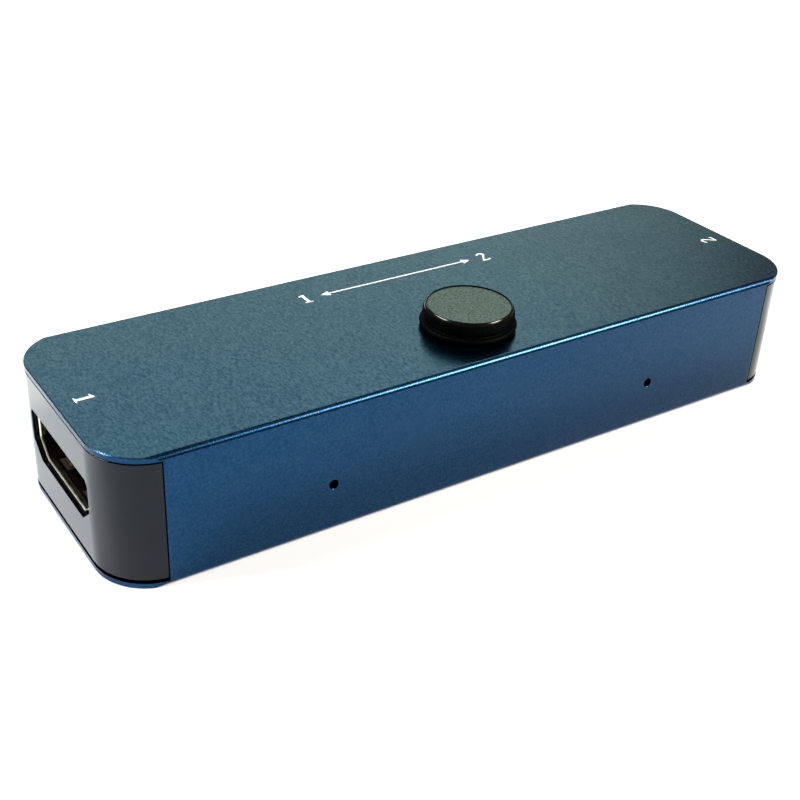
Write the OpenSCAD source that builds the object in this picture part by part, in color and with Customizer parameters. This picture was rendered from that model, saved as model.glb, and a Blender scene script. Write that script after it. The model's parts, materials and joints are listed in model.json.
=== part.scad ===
// Two-way video switch box: an extruded sleeve closed by a moulded cap at each end,
// a circuit board with three sockets inside, and a push button over a tactile switch.
// The origin is the middle of the underside, +X runs along the length, +Z is up,
// and the wall with the two lamps faces -Y.

/* [Case] */
// Length over both end caps
case_length = 90; // [84:1:120]
// Width from the front wall to the rear wall
case_width = 27.3; // [26.7:0.1:34]
// Height of the sleeve without the button
case_height = 15; // [14:0.5:20]
// Thickness of the sleeve's walls and plates
case_wall = 0.6; // [0.5:0.1:1]
// Plan radius of the four upright corners
corner_radius = 6; // [4:0.5:7]
// Radius along the four long edges
edge_fillet = 0.7; // [0.5:0.1:1.6]
// Smallest radius along the four inside edges
inner_fillet_min = 0.1; // [0.05:0.05:0.3]

/* [End caps] */
// Distance from the end face to the seam with the side wall
cap_depth = 5.4; // [4:0.2:8]
// Thickness of the cap's wall
cap_wall = 1.2; // [0.8:0.1:1.6]
// Open seam between cap and side wall
cap_seam = 0.15; // [0.1:0.05:0.3]
// Open seam under the top plate
cap_top_gap = 0.12; // [0.05:0.01:0.3]
// Shadow gap above the bottom plate
cap_bottom_gap = 0.4; // [0.1:0.1:0.8]
// Reach of the two arms into the sleeve, past the seam
cap_arm_length = 4; // [2:0.5:8]
// Thickness of each arm
cap_arm_thickness = 1.2; // [0.8:0.1:1.6]

/* [Sockets] */
// Height of the sockets' middle above the underside
port_z = 7.7; // [7:0.1:8.5]
// Width inside the socket's shell
port_width = 14; // [13.5:0.1:14.5]
// Height inside the socket's shell
port_height = 4.55; // [4.3:0.05:4.8]
// Width of the slanted lower corner
port_chamfer_w = 2; // [1.5:0.1:2.5]
// Height of the slanted lower corner
port_chamfer_h = 1.75; // [1.4:0.05:2]
// Inside radius of the two upper bends in the stamped shell
port_bend = 0.5; // [0.3:0.1:0.7]
// Radius of the upper corners of the wall's opening
opening_corner = 0.6; // [0.3:0.1:0.8]
// Thickness of the stamped shell
shell_wall = 0.3; // [0.2:0.05:0.4]
// Depth of the shell from its mouth
shell_depth = 10.8; // [10:0.2:12]
// How far the shell's mouth sits behind the outer face of the wall
port_recess = 0.6; // [0.2:0.1:1.2]
// Room between the shell and the wall's opening, on each side
opening_side_margin = 0.4; // [0.2:0.1:0.8]
// Room between the shell and the wall's opening, above and below
opening_height_margin = 0.06; // [0.04:0.02:0.3]
// Length of each soldering leg below the board
leg_stick = 0.8; // [0.4:0.1:1.2]
// Width of each soldering leg
leg_width = 1.4; // [1:0.1:2]
// Distance from the shell's mouth to its front legs
front_leg = 3; // [2.5:0.1:4]
// Distance from the shell's back to its rear legs
rear_leg_inset = 2.4; // [1.5:0.1:3]
// How far a leg laps up the shell's upright side
leg_lap = 0.6; // [0.4:0.1:1]
// Width of each spring finger in the shell
finger_width = 1.4; // [1:0.1:1.8]
// How far the tip of a spring finger stands into the socket
finger_reach = 0.35; // [0.2:0.05:0.5]
// Width of the slot that cuts a finger free
finger_slot = 0.3; // [0.2:0.05:0.4]
// Distance from the tongue's front to the tips of the fingers
finger_setback = 1.4; // [1.2:0.1:2]
// Distance from the rear block to the roots of the fingers
finger_root_gap = 0.6; // [0.5:0.1:1]
// Distance from the middle to each upper finger
upper_finger_y = 3.5; // [2.5:0.1:4]
// Distance from the middle to each lower finger
lower_finger_y = 2.5; // [2:0.1:3]

/* [Tongue and contacts] */
// Width of the contact tongue
tongue_width = 11.6; // [11:0.1:12]
// Thickness of the contact tongue
tongue_thickness = 1; // [0.9:0.1:1.3]
// How far the tongue stops short of the shell's mouth
tongue_recess = 1.7; // [1.4:0.1:2.2]
// Depth of the rear block that carries the tongue
block_depth = 3.4; // [3:0.1:3.6]
// How far the upper corners of the rear block are cut back behind the shell's bends
block_corner = 0.8; // [0.6:0.1:1]
// Contacts on the upper face of the tongue
upper_contacts = 10; // [8:1:10]
// Distance between neighbouring contacts
contact_pitch = 1; // [0.9:0.05:1.1]
// Width of one contact
contact_width = 0.3; // [0.25:0.05:0.35]
// Thickness of one contact
contact_thickness = 0.15; // [0.1:0.05:0.2]
// How far a contact stands out of the tongue's face
contact_proud = 0.03; // [0.02:0.01:0.06]
// Distance from the tongue's front to the start of the contacts
contact_inset = 0.3; // [0.2:0.1:0.8]
// Distance from the shell's back to the solder tails
tail_gap = 0.3; // [0.2:0.05:0.5]
// Length of a solder tail's foot
tail_foot = 0.7; // [0.5:0.1:1]

/* [Circuit board] */
// Thickness of the board
board_thickness = 1.2; // [1:0.1:1.6]
// Room between the board's long edge and the caps
board_side_gap = 0.15; // [0.1:0.05:0.3]
// Room between the board's end and the cap's end wall
board_end_gap = 1.5; // [1:0.1:2.5]
// Bearing of the board on each ledge
board_rest = 0.75; // [0.5:0.05:1]
// Thickness of the ledges that carry the board
ledge_thickness = 0.8; // [0.6:0.1:1.2]

/* [Button] */
// Distance from the front wall to the button's axis
button_setback = 7.8; // [7.2:0.1:8.2]
// Height of the button's rim above the top plate
button_height = 2.7; // [2.5:0.05:3.5]
// Diameter of the flange
flange_d = 10.8; // [10.4:0.1:12]
// Thickness of the flange
flange_thickness = 0.6; // [0.5:0.05:0.7]
// Gap under the flange at rest
flange_gap = 0.3; // [0.3:0.05:0.5]
// Diameter of the button at its widest, below the shoulder
button_d = 10.2; // [9.6:0.1:10.4]
// Diameter at the waist above the flange
waist_d = 9.7; // [9:0.1:9.9]
// Radius of the rounded shoulder
shoulder_radius = 1.3; // [1:0.05:1.6]
// Height of the shoulder below the rim
shoulder_drop = 0.9; // [0.7:0.01:0.95]
// Width of the rim round the button's disc
rim_width = 0.12; // [0.08:0.01:0.25]
// Depth of the disc below the rim
disc_recess = 0.12; // [0.05:0.01:0.2]
// Diameter of the hub that passes through the top plate
hub_d = 5.6; // [5:0.1:6.5]
// Length of the hub below the flange
hub_length = 3; // [2:0.1:4]
// Room round the hub in the top plate
hub_gap = 0.4; // [0.3:0.05:0.6]
// Thickness of the button above the stem
button_top = 1.4; // [1:0.1:1.8]
// Travel of a full press
button_travel = 0.25; // [0.2:0.01:0.28]

/* [Tactile switch] */
// Side of the square switch body
switch_side = 6; // [5.6:0.1:6.4]
// Height of the cavity floor above the board
switch_floor = 1.2; // [0.8:0.1:1.6]
// Diameter of the cavity
cavity_d = 4.6; // [4.5:0.1:5]
// Diameter of the snap dome at its rim
dome_d = 4.2; // [3.8:0.1:4.4]
// Height of the snap dome
dome_height = 0.45; // [0.4:0.01:0.55]
// Thickness of the dome's spring steel
dome_thickness = 0.1; // [0.08:0.01:0.12]
// Room between the dome's crown and the stem at rest
stem_rest_gap = 0.03; // [0.02:0.01:0.05]
// Diameter of the stem's post
stem_d = 3.4; // [3:0.1:3.6]
// Diameter of the nub that meets the dome
nub_d = 1.6; // [1.2:0.1:2]
// Height of the nub that meets the dome
nub_height = 0.6; // [0.4:0.05:0.8]
// Thickness of the collar that the cover holds back
collar_thickness = 0.9; // [0.7:0.1:1.2]
// Running room round the stem, in the cavity and in the cover
stem_gap = 0.15; // [0.1:0.01:0.2]
// Room round the stem in the button's bore
bore_gap = 0.05; // [0.03:0.01:0.08]
// Thickness of the metal cover
cover_thickness = 0.3; // [0.2:0.05:0.4]
// Diameter of the four pegs that hold the cover
peg_d = 0.8; // [0.6:0.05:0.9]
// Room round each peg in the cover
peg_gap = 0.05; // [0.03:0.01:0.1]
// Width of one terminal
terminal_width = 0.7; // [0.5:0.1:0.9]
// Thickness of one terminal
terminal_thickness = 0.25; // [0.2:0.05:0.3]
// Distance between the two terminals on one side
terminal_spacing = 4.5; // [4:0.1:4.8]
// Distance from the stem's axis to the inner end of a terminal
terminal_inner = 1.2; // [0.8:0.1:1.6]
// Distance from the edge of the switch body to a peg
peg_inset = 0.2; // [0.15:0.05:0.3]

/* [Lamps] */
// Distance between the two lamps
led_spacing = 43; // [36:1:50]
// Diameter of the hole in the front wall for each lamp
led_hole_d = 1.1; // [0.8:0.1:1.4]
// Width of one lamp
led_width = 3; // [2:0.1:3.6]
// Depth of the lamp's housing
led_depth = 1.2; // [0.8:0.1:1.6]
// Height of one lamp
led_height = 1.15; // [0.9:0.05:1.4]
// Diameter of the lamp's lens
led_lens_d = 0.9; // [0.6:0.1:1]
// How far the lens stands out of the housing
led_lens_reach = 0.3; // [0.1:0.05:0.4]

/* [Chips] */
// Distance of the signal chip and the control chip from the middle
chip_offset = 16; // [14:0.5:20]
// Side of the square signal chip
mux_side = 7; // [5:0.5:8]
// Thickness of the signal chip
mux_thickness = 0.85; // [0.7:0.05:1]
// Pads along each side of the signal chip
mux_pads = 9; // [5:2:11]
// Distance between neighbouring pads
pad_pitch = 0.6; // [0.5:0.05:0.65]
// Width of one pad
pad_width = 0.3; // [0.2:0.05:0.35]
// Length of one pad
pad_length = 0.6; // [0.4:0.1:0.8]
// Thickness of one pad
pad_thickness = 0.1; // [0.05:0.05:0.15]
// Length of the control chip
control_length = 4.9; // [4:0.1:6]
// Width of the control chip's body
control_width = 3.9; // [3:0.1:5]
// Thickness of the control chip's body
control_thickness = 1.4; // [1:0.1:1.6]
// Height of the control chip's body above the board
control_standoff = 0.15; // [0.1:0.05:0.3]
// Leads along each side of the control chip
control_leads_a_side = 4; // [3:1:4]
// Distance between neighbouring leads
lead_pitch = 1.27; // [1:0.01:1.3]
// Width of one lead
lead_width = 0.4; // [0.3:0.05:0.5]
// Thickness of one lead
lead_thickness = 0.2; // [0.15:0.05:0.25]
// Reach of a lead from the body to the end of its foot
lead_reach = 1; // [0.8:0.1:1.2]

/* [Small parts] */
// Small parts in the row behind each end socket
row_count = 6; // [4:2:8]
// Distance between neighbours in a row
row_pitch = 1.8; // [1.5:0.1:2.2]
// Room between the socket's solder tails and the surge chips
surge_gap = 1.2; // [0.8:0.1:2]
// Room between the surge chips and the capacitors
capacitor_gap = 1.5; // [1:0.1:2.5]
// Length of a surge chip
surge_length = 2.5; // [2:0.1:3]
// Width of a surge chip
surge_width = 1; // [0.8:0.1:1.2]
// Thickness of a surge chip
surge_thickness = 0.5; // [0.4:0.05:0.6]
// Length of a capacitor or resistor
passive_length = 1; // [0.8:0.1:1.6]
// Width of a capacitor or resistor
passive_width = 0.5; // [0.4:0.05:0.8]
// Thickness of a capacitor
capacitor_thickness = 0.5; // [0.4:0.05:0.8]
// Thickness of a resistor
resistor_thickness = 0.35; // [0.25:0.05:0.5]
// Distance from a lamp's middle to its resistor
resistor_offset = 3.2; // [2.8:0.1:5]

/* [Clearances] */
// Room round a leg or terminal that is soldered into the board
solder_gap = 0.12; // [0.05:0.01:0.2]
// Sliding room between flat faces
slide_gap = 0.08; // [0.05:0.01:0.12]

/* [Hidden] */
$fn = 64;

// Overshoot of a cut past the face that it opens
cut = 1;

// Sleeve
inner_width = case_width - 2 * case_wall;
inner_height = case_height - 2 * case_wall;
inner_fillet = max(edge_fillet - case_wall, inner_fillet_min);
plate_under = case_height - case_wall;

// Board
board_top = port_z - port_height / 2 - shell_wall;
board_bottom = board_top - board_thickness;
board_width = case_width - 2 * (cap_wall + board_side_gap);
board_length = case_length - 2 * (cap_wall + board_end_gap);
board_corner = corner_radius - cap_wall - board_side_gap;
ledge_width = (inner_width - board_width) / 2 + board_rest;

// End caps
cap_bottom = case_wall + cap_bottom_gap;
cap_top = plate_under - cap_top_gap;
cap_arm_bottom = board_top + slide_gap;
cap_arm_top = plate_under - inner_fillet - slide_gap;

// Sockets, in their own frame: X into the box from the mouth, Z up from the middle
port_floor = board_top - port_z;
shell_width = port_width + 2 * shell_wall;
shell_height = port_height + 2 * shell_wall;
opening_width = shell_width + 2 * opening_side_margin;
opening_height = shell_height + 2 * opening_height_margin;
block_start = shell_depth - block_depth;
leg_places = [front_leg, shell_depth - rear_leg_inset];
finger_root = block_start - finger_root_gap;
finger_tip = tongue_recess + finger_setback;
contact_start = tongue_recess + contact_inset;
tail_end = shell_depth + tail_gap + contact_thickness + tail_foot;
end_mouth = case_length / 2 - port_recess;
rear_mouth = case_width / 2 - port_recess;

// Switch and button, in their own frame: Z up from the board
button_y = button_setback - case_width / 2;
dome_radius = (pow(dome_d / 2, 2) + pow(dome_height, 2)) / (2 * dome_height);
nub_bottom = switch_floor + dome_height + stem_rest_gap;
collar_bottom = nub_bottom + nub_height;
collar_top = collar_bottom + collar_thickness;
switch_top = collar_top + stem_rest_gap;
stem_top = case_height + button_height - button_top - board_top;
peg_place = (switch_side - peg_d) / 2 - peg_inset;
rim_reach = button_d / 2 - shoulder_radius + sqrt(pow(shoulder_radius, 2) - pow(shoulder_drop, 2));

// Lamps
led_z = board_top + led_height / 2;
led_front = board_width / 2;

// Rows of small parts, measured from the middle
surge_x = end_mouth - tail_end - surge_gap - surge_width / 2;
capacitor_x = surge_x - surge_width / 2 - capacitor_gap - passive_length / 2;

module rounded_rect(length, width, radius) {
  square([length - 2 * radius, width], center = true);
  square([length, width - 2 * radius], center = true);
  for (sx = [-1, 1], sy = [-1, 1])
    translate([sx * (length / 2 - radius), sy * (width / 2 - radius)])
      circle(r = radius);
}

// Carries an outline drawn in Y and Z along the X axis
module along_x(length) {
  rotate([90, 0, 90])
    linear_extrude(length)
      children();
}

// Corners of a socket's outline, centred: the upper ones cut back, the lower ones slanted
function port_corners(width, height, cut_back) = [
  [cut_back - width / 2, height / 2],
  [width / 2 - cut_back, height / 2],
  [width / 2, height / 2 - cut_back],
  [width / 2, port_chamfer_h - height / 2],
  [width / 2 - port_chamfer_w, -height / 2],
  [port_chamfer_w - width / 2, -height / 2],
  [-width / 2, port_chamfer_h - height / 2],
  [-width / 2, height / 2 - cut_back]
];

// Outline of a socket with its upper corners rounded
module port_outline(width, height, radius) {
  polygon(port_corners(width, height, radius));
  for (side = [-1, 1])
    translate([side * (width / 2 - radius), height / 2 - radius])
      circle(r = radius);
}

module at_left_port() {
  translate([-end_mouth, 0, port_z])
    children();
}

module at_right_port() {
  translate([end_mouth, 0, port_z])
    rotate([0, 0, 180])
      children();
}

module at_rear_port() {
  translate([0, rear_mouth, port_z])
    rotate([0, 0, -90])
      children();
}

// Opening in the wall in front of a socket
module port_opening(wall) {
  translate([-port_recess - cut, 0, 0])
    along_x(wall + 2 * cut)
      port_outline(opening_width, opening_height, opening_corner);
}

module at_button() {
  translate([0, button_y, board_top])
    children();
}

// Space inside the extrusion, between the two ledges that carry the board
module sleeve_space() {
  ledge_y = (inner_width - ledge_width + cut) / 2;
  ledge_z = board_bottom - (ledge_thickness + case_height) / 2;
  difference() {
    rounded_rect(inner_width, inner_height, inner_fillet);
    for (side = [-1, 1])
      translate([side * ledge_y, ledge_z])
        square([ledge_width + cut, ledge_thickness], center = true);
  }
}

module case_sleeve() {
  color("#1f4a6e")
    difference() {
      intersection() {
        translate([-case_length / 2, 0, case_height / 2])
          along_x(case_length)
            rounded_rect(case_width, case_height, edge_fillet);
        linear_extrude(case_height)
          rounded_rect(case_length, case_width, corner_radius);
      }
      translate([-case_length / 2 - cut, 0, case_height / 2])
        along_x(case_length + 2 * cut)
          sleeve_space();
      for (side = [-1, 1])
        translate([side * case_length / 2, 0, case_height / 2])
          cube([2 * cap_depth, case_width + 2 * cut, inner_height], center = true);
      at_rear_port()
        port_opening(case_wall);
      translate([0, button_y, plate_under - cut])
        cylinder(d = hub_d + 2 * hub_gap, h = case_wall + 2 * cut);
      for (side = [-1, 1])
        translate([side * led_spacing / 2, cut - inner_width / 2, led_z])
          rotate([90, 0, 0])
            cylinder(d = led_hole_d, h = case_wall + 2 * cut);
    }
}

// Cap of the left end: a wall that wraps both corners, and two arms that slide into the sleeve
module end_cap() {
  arm_y = (inner_width - cap_arm_thickness) / 2 - slide_gap;
  arm_start = cap_depth - cap_seam - case_length / 2 - cap_wall;
  arm_end = cap_depth - case_length / 2 + cap_arm_length;
  difference() {
    union() {
      translate([0, 0, cap_bottom])
        linear_extrude(cap_top - cap_bottom)
          difference() {
            intersection() {
              rounded_rect(case_length, case_width, corner_radius);
              translate([-case_length / 2, -case_width / 2])
                square([cap_depth - cap_seam, case_width]);
            }
            rounded_rect(case_length - 2 * cap_wall, case_width - 2 * cap_wall, corner_radius - cap_wall);
          }
      translate([0, 0, cap_arm_bottom])
        linear_extrude(cap_arm_top - cap_arm_bottom)
          intersection() {
            rounded_rect(case_length, case_width, corner_radius);
            for (side = [-1, 1])
              translate([arm_start, side * arm_y - cap_arm_thickness / 2])
                square([arm_end - arm_start, cap_arm_thickness]);
          }
    }
    at_left_port()
      port_opening(cap_wall);
  }
}

module left_end_cap() {
  color("#17181b")
    end_cap();
}

module right_end_cap() {
  color("#17181b")
    rotate([0, 0, 180])
      end_cap();
}

module circuit_board() {
  color("#1d5a3a")
    difference() {
      translate([0, 0, board_bottom])
        linear_extrude(board_thickness)
          rounded_rect(board_length, board_width, board_corner);
      at_left_port()
        leg_slots();
      at_right_port()
        leg_slots();
      at_rear_port()
        leg_slots();
      at_button()
        terminal_slots();
    }
}

// Legs of a socket's shell, grown by a clearance on every side
module legs(gap) {
  leg_top = port_chamfer_h - port_height / 2 + leg_lap;
  leg_end = port_floor - board_thickness - leg_stick;
  for (place = leg_places, side = [-1, 1])
    translate([place, side * (port_width + shell_wall) / 2, leg_end])
      linear_extrude(leg_top - leg_end)
        square([leg_width + 2 * gap, shell_wall + 2 * gap], center = true);
}

module leg_slots() {
  legs(solder_gap);
}

// Spring finger of the shell's upper wall, cut free on three sides and bent into the socket
module finger(lateral) {
  wall_in = port_height / 2;
  translate([0, lateral + finger_width / 2, 0])
    rotate([90, 0, 0])
      linear_extrude(finger_width)
        polygon([
          [finger_root + shell_wall, wall_in + shell_wall],
          [finger_tip, wall_in + shell_wall - finger_reach - shell_wall],
          [finger_tip, wall_in - finger_reach - shell_wall],
          [finger_root + shell_wall, wall_in]
        ]);
}

module finger_window(lateral) {
  translate([finger_tip - finger_slot, lateral - finger_width / 2 - finger_slot, port_height / 2 - cut])
    cube([finger_root - finger_tip + finger_slot, finger_width + 2 * finger_slot, shell_wall + 2 * cut]);
}

module port_shell() {
  color("#c9b27a") {
    difference() {
      along_x(shell_depth)
        difference() {
          port_outline(shell_width, shell_height, port_bend + shell_wall);
          port_outline(port_width, port_height, port_bend);
        }
      for (side = [-1, 1]) {
        finger_window(side * upper_finger_y);
        mirror([0, 0, 1])
          finger_window(side * lower_finger_y);
      }
    }
    for (side = [-1, 1]) {
      finger(side * upper_finger_y);
      mirror([0, 0, 1])
        finger(side * lower_finger_y);
    }
    legs(0);
  }
}

module left_port_shell() {
  at_left_port()
    port_shell();
}

module right_port_shell() {
  at_right_port()
    port_shell();
}

module rear_port_shell() {
  at_rear_port()
    port_shell();
}

// One contact strip: along the tongue, out of the block and down to a foot on the board
module contact(lateral, face) {
  tail = shell_depth + tail_gap;
  translate([0, lateral + contact_width / 2, 0])
    rotate([90, 0, 0])
      linear_extrude(contact_width)
        polygon([
          [contact_start, face],
          [tail + contact_thickness, face],
          [tail + contact_thickness, port_floor + contact_thickness],
          [tail_end, port_floor + contact_thickness],
          [tail_end, port_floor],
          [tail, port_floor],
          [tail, face - contact_thickness],
          [contact_start, face - contact_thickness]
        ]);
}

module port_contacts() {
  upper_face = tongue_thickness / 2 + contact_proud;
  color("#d8b24a") {
    for (i = [0:upper_contacts - 1])
      contact((i - (upper_contacts - 1) / 2) * contact_pitch, upper_face);
    for (i = [0:upper_contacts - 2])
      contact((i - (upper_contacts - 2) / 2) * contact_pitch, contact_thickness - upper_face);
  }
}

module left_port_contacts() {
  at_left_port()
    port_contacts();
}

module right_port_contacts() {
  at_right_port()
    port_contacts();
}

module rear_port_contacts() {
  at_rear_port()
    port_contacts();
}

module port_insulator() {
  color("#202124")
    difference() {
      union() {
        translate([block_start, 0, 0])
          along_x(block_depth)
            polygon(port_corners(port_width - 2 * slide_gap, port_height - 2 * slide_gap, block_corner));
        translate([tongue_recess, -tongue_width / 2, -tongue_thickness / 2])
          cube([block_start - tongue_recess + cut, tongue_width, tongue_thickness]);
      }
      port_contacts();
    }
}

module left_port_insulator() {
  at_left_port()
    port_insulator();
}

module right_port_insulator() {
  at_right_port()
    port_insulator();
}

module rear_port_insulator() {
  at_rear_port()
    port_insulator();
}

// One terminal of the switch: an arm in the base and a leg down through the board
module terminal() {
  half = switch_side / 2;
  leg_end = -board_thickness - leg_stick;
  translate([0, terminal_width / 2, 0])
    rotate([90, 0, 0])
      linear_extrude(terminal_width)
        polygon([
          [terminal_inner, switch_floor],
          [half + terminal_thickness, switch_floor],
          [half + terminal_thickness, leg_end],
          [half, leg_end],
          [half, switch_floor - terminal_thickness],
          [terminal_inner, switch_floor - terminal_thickness]
        ]);
}

module all_terminals() {
  for (turn = [0, 180], side = [-1, 1])
    rotate([0, 0, turn])
      translate([0, side * terminal_spacing / 2, 0])
        terminal();
}

module terminal_slots() {
  leg_x = (switch_side + terminal_thickness) / 2;
  for (sx = [-1, 1], sy = [-1, 1])
    translate([sx * leg_x, sy * terminal_spacing / 2, -board_thickness / 2])
      cube([
        terminal_thickness + 2 * solder_gap,
        terminal_width + 2 * solder_gap,
        board_thickness + 2 * cut
      ], center = true);
}

module pegs(gap, height) {
  for (sx = [-1, 1], sy = [-1, 1])
    translate([sx * peg_place, sy * peg_place, switch_top - cut])
      cylinder(d = peg_d + 2 * gap, h = height + cut);
}

module switch_base() {
  color("#2a2b2e")
    at_button()
      difference() {
        union() {
          translate([-switch_side / 2, -switch_side / 2, 0])
            cube([switch_side, switch_side, switch_top]);
          pegs(0, cover_thickness);
        }
        translate([0, 0, switch_floor])
          cylinder(d = cavity_d, h = switch_top);
        all_terminals();
      }
}

module switch_terminals() {
  color("#c8c9cc")
    at_button()
      all_terminals();
}

module switch_dome() {
  color("#d5d6d8")
    at_button()
      translate([0, 0, switch_floor])
        rotate_extrude()
          intersection() {
            translate([0, dome_height - dome_radius])
              difference() {
                circle(r = dome_radius, $fn = 128);
                circle(r = dome_radius - dome_thickness, $fn = 128);
              }
            square([dome_d, dome_height]);
          }
}

module switch_stem() {
  color("#3a3b3e")
    at_button()
      rotate_extrude()
        union() {
          translate([0, nub_bottom])
            square([nub_d / 2, nub_height]);
          translate([0, collar_bottom])
            square([cavity_d / 2 - stem_gap, collar_thickness]);
          translate([0, collar_bottom])
            square([stem_d / 2, stem_top - collar_bottom]);
        }
}

module switch_cover() {
  color("#bfc1c4")
    at_button()
      difference() {
        translate([-switch_side / 2, -switch_side / 2, switch_top])
          cube([switch_side, switch_side, cover_thickness]);
        translate([0, 0, switch_top - cut])
          cylinder(d = stem_d + 2 * stem_gap, h = cover_thickness + 2 * cut);
        pegs(peg_gap, cover_thickness + cut);
      }
}

// Button, in a frame with Z up from the top plate
module button_cap() {
  top = button_height;
  flange_top = flange_gap + flange_thickness;
  shoulder_z = top - shoulder_drop;
  bore_end = top - button_top;
  color("#141517")
    translate([0, button_y, case_height])
      rotate_extrude()
        difference() {
          union() {
            translate([0, flange_gap])
              square([(flange_d - flange_thickness) / 2, flange_thickness]);
            translate([(flange_d - flange_thickness) / 2, flange_gap + flange_thickness / 2])
              circle(d = flange_thickness);
            polygon([
              [0, flange_gap],
              [waist_d / 2, flange_gap],
              [waist_d / 2, flange_top],
              [button_d / 2, shoulder_z],
              [0, shoulder_z]
            ]);
            intersection() {
              translate([button_d / 2 - shoulder_radius, shoulder_z])
                circle(r = shoulder_radius);
              translate([0, shoulder_z])
                square([button_d, shoulder_drop]);
            }
            translate([0, shoulder_z - cut])
              square([button_d / 2 - shoulder_radius, shoulder_drop + cut]);
            translate([0, flange_gap - hub_length])
              square([hub_d / 2, hub_length + flange_thickness]);
          }
          translate([0, flange_gap - hub_length - cut])
            square([stem_d / 2 + bore_gap, bore_end - flange_gap + hub_length + cut]);
          translate([0, top - disc_recess])
            square([rim_reach - rim_width, disc_recess + cut]);
        }
}

// Side-firing lamp with a short round lens towards the front wall
module led() {
  translate([-led_width / 2, -led_front, board_top])
    cube([led_width, led_depth, led_height]);
  translate([0, led_depth / 2 - led_front, led_z])
    rotate([90, 0, 0])
      cylinder(d = led_lens_d, h = led_lens_reach + led_depth / 2);
}

module left_led() {
  color("#e8efe4")
    translate([-led_spacing / 2, 0, 0])
      led();
}

module right_led() {
  color("#e8efe4")
    translate([led_spacing / 2, 0, 0])
      led();
}

module mux_chip() {
  color("#26272a")
    translate([chip_offset - mux_side / 2, -mux_side / 2, board_top + pad_thickness])
      cube([mux_side, mux_side, mux_thickness]);
}

module mux_chip_pads() {
  color("#b9bcc0")
    translate([chip_offset, 0, board_top])
      for (turn = [0:90:270], i = [0:mux_pads - 1])
        rotate([0, 0, turn])
          translate([mux_side / 2 - pad_length, (i - (mux_pads - 1) / 2) * pad_pitch - pad_width / 2, 0])
            cube([pad_length, pad_width, pad_thickness]);
}

module control_chip() {
  color("#26272a")
    translate([-chip_offset - control_length / 2, -control_width / 2, board_top + control_standoff])
      cube([control_length, control_width, control_thickness]);
}

// One bent lead: out of the body at half height, down, and along the board
module lead() {
  half = control_width / 2;
  middle = control_standoff + control_thickness / 2;
  knee = half + lead_reach / 2;
  rotate([90, 0, 90])
    linear_extrude(lead_width, center = true)
      polygon([
        [half, middle],
        [knee, middle],
        [knee, lead_thickness],
        [half + lead_reach, lead_thickness],
        [half + lead_reach, 0],
        [knee - lead_thickness, 0],
        [knee - lead_thickness, middle - lead_thickness],
        [half, middle - lead_thickness]
      ]);
}

module control_chip_leads() {
  color("#b9bcc0")
    translate([-chip_offset, 0, board_top])
      for (turn = [0, 180], i = [0:control_leads_a_side - 1])
        rotate([0, 0, turn])
          translate([(i - (control_leads_a_side - 1) / 2) * lead_pitch, 0, 0])
            lead();
}

// A box standing on the board, centred on a point
module on_board(x, y, size) {
  translate([x - size[0] / 2, y - size[1] / 2, board_top])
    cube(size);
}

module surge_chips() {
  color("#303135")
    for (end = [-1, 1], side = [-1, 1])
      on_board(end * surge_x, side * surge_length, [surge_width, surge_length, surge_thickness]);
}

module capacitors() {
  color("#a88f6c")
    for (end = [-1, 1], i = [0:row_count - 1])
      on_board(
        end * capacitor_x,
        (i - (row_count - 1) / 2) * row_pitch,
        [passive_length, passive_width, capacitor_thickness]
      );
}

module resistors() {
  color("#1c1d20")
    for (end = [-1, 1], side = [-1, 1])
      on_board(
        end * led_spacing / 2 + side * resistor_offset,
        led_depth / 2 - led_front,
        [passive_length, passive_width, resistor_thickness]
      );
}

case_sleeve();
left_end_cap();
right_end_cap();
circuit_board();
left_port_shell();
right_port_shell();
rear_port_shell();
left_port_insulator();
right_port_insulator();
rear_port_insulator();
left_port_contacts();
right_port_contacts();
rear_port_contacts();
switch_base();
switch_terminals();
switch_dome();
switch_stem();
switch_cover();
button_cap();
left_led();
right_led();
mux_chip();
mux_chip_pads();
control_chip();
control_chip_leads();
surge_chips();
capacitors();
resistors();
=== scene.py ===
import json
import bpy
import numpy as np
from mathutils import Matrix, Vector


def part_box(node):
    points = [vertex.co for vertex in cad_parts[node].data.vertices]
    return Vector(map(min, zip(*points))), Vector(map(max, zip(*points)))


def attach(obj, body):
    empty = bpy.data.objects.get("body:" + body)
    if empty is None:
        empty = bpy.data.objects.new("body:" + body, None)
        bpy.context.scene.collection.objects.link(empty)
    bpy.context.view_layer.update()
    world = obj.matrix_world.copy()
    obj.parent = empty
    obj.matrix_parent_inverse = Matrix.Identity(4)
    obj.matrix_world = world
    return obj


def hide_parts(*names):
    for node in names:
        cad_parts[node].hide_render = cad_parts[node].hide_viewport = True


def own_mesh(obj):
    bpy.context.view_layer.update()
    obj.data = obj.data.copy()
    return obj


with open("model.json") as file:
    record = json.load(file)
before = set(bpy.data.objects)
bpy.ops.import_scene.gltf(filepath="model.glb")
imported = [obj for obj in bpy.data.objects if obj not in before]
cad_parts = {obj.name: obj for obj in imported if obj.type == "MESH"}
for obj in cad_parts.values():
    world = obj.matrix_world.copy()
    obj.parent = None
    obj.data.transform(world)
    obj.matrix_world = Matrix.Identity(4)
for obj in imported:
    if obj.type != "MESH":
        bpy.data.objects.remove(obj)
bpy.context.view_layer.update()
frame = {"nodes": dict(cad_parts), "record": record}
mm = 0.001  # sizes below are in millimetres, Blender's are in metres
print("frame loaded:", len(frame["nodes"]), "nodes")


def corners(node):
    low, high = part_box(node)
    return np.array(low) / mm, np.array(high) / mm


def linear(hexColour):  # sRGB hex to linear red, green, blue, alpha
    srgb = np.array([int(hexColour[i:i + 2], 16) for i in (1, 3, 5)]) / 255
    return (*np.where(srgb <= 0.04045, srgb / 12.92, ((srgb + 0.055) / 1.055) ** 2.4), 1.0)


# shader nodes

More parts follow.
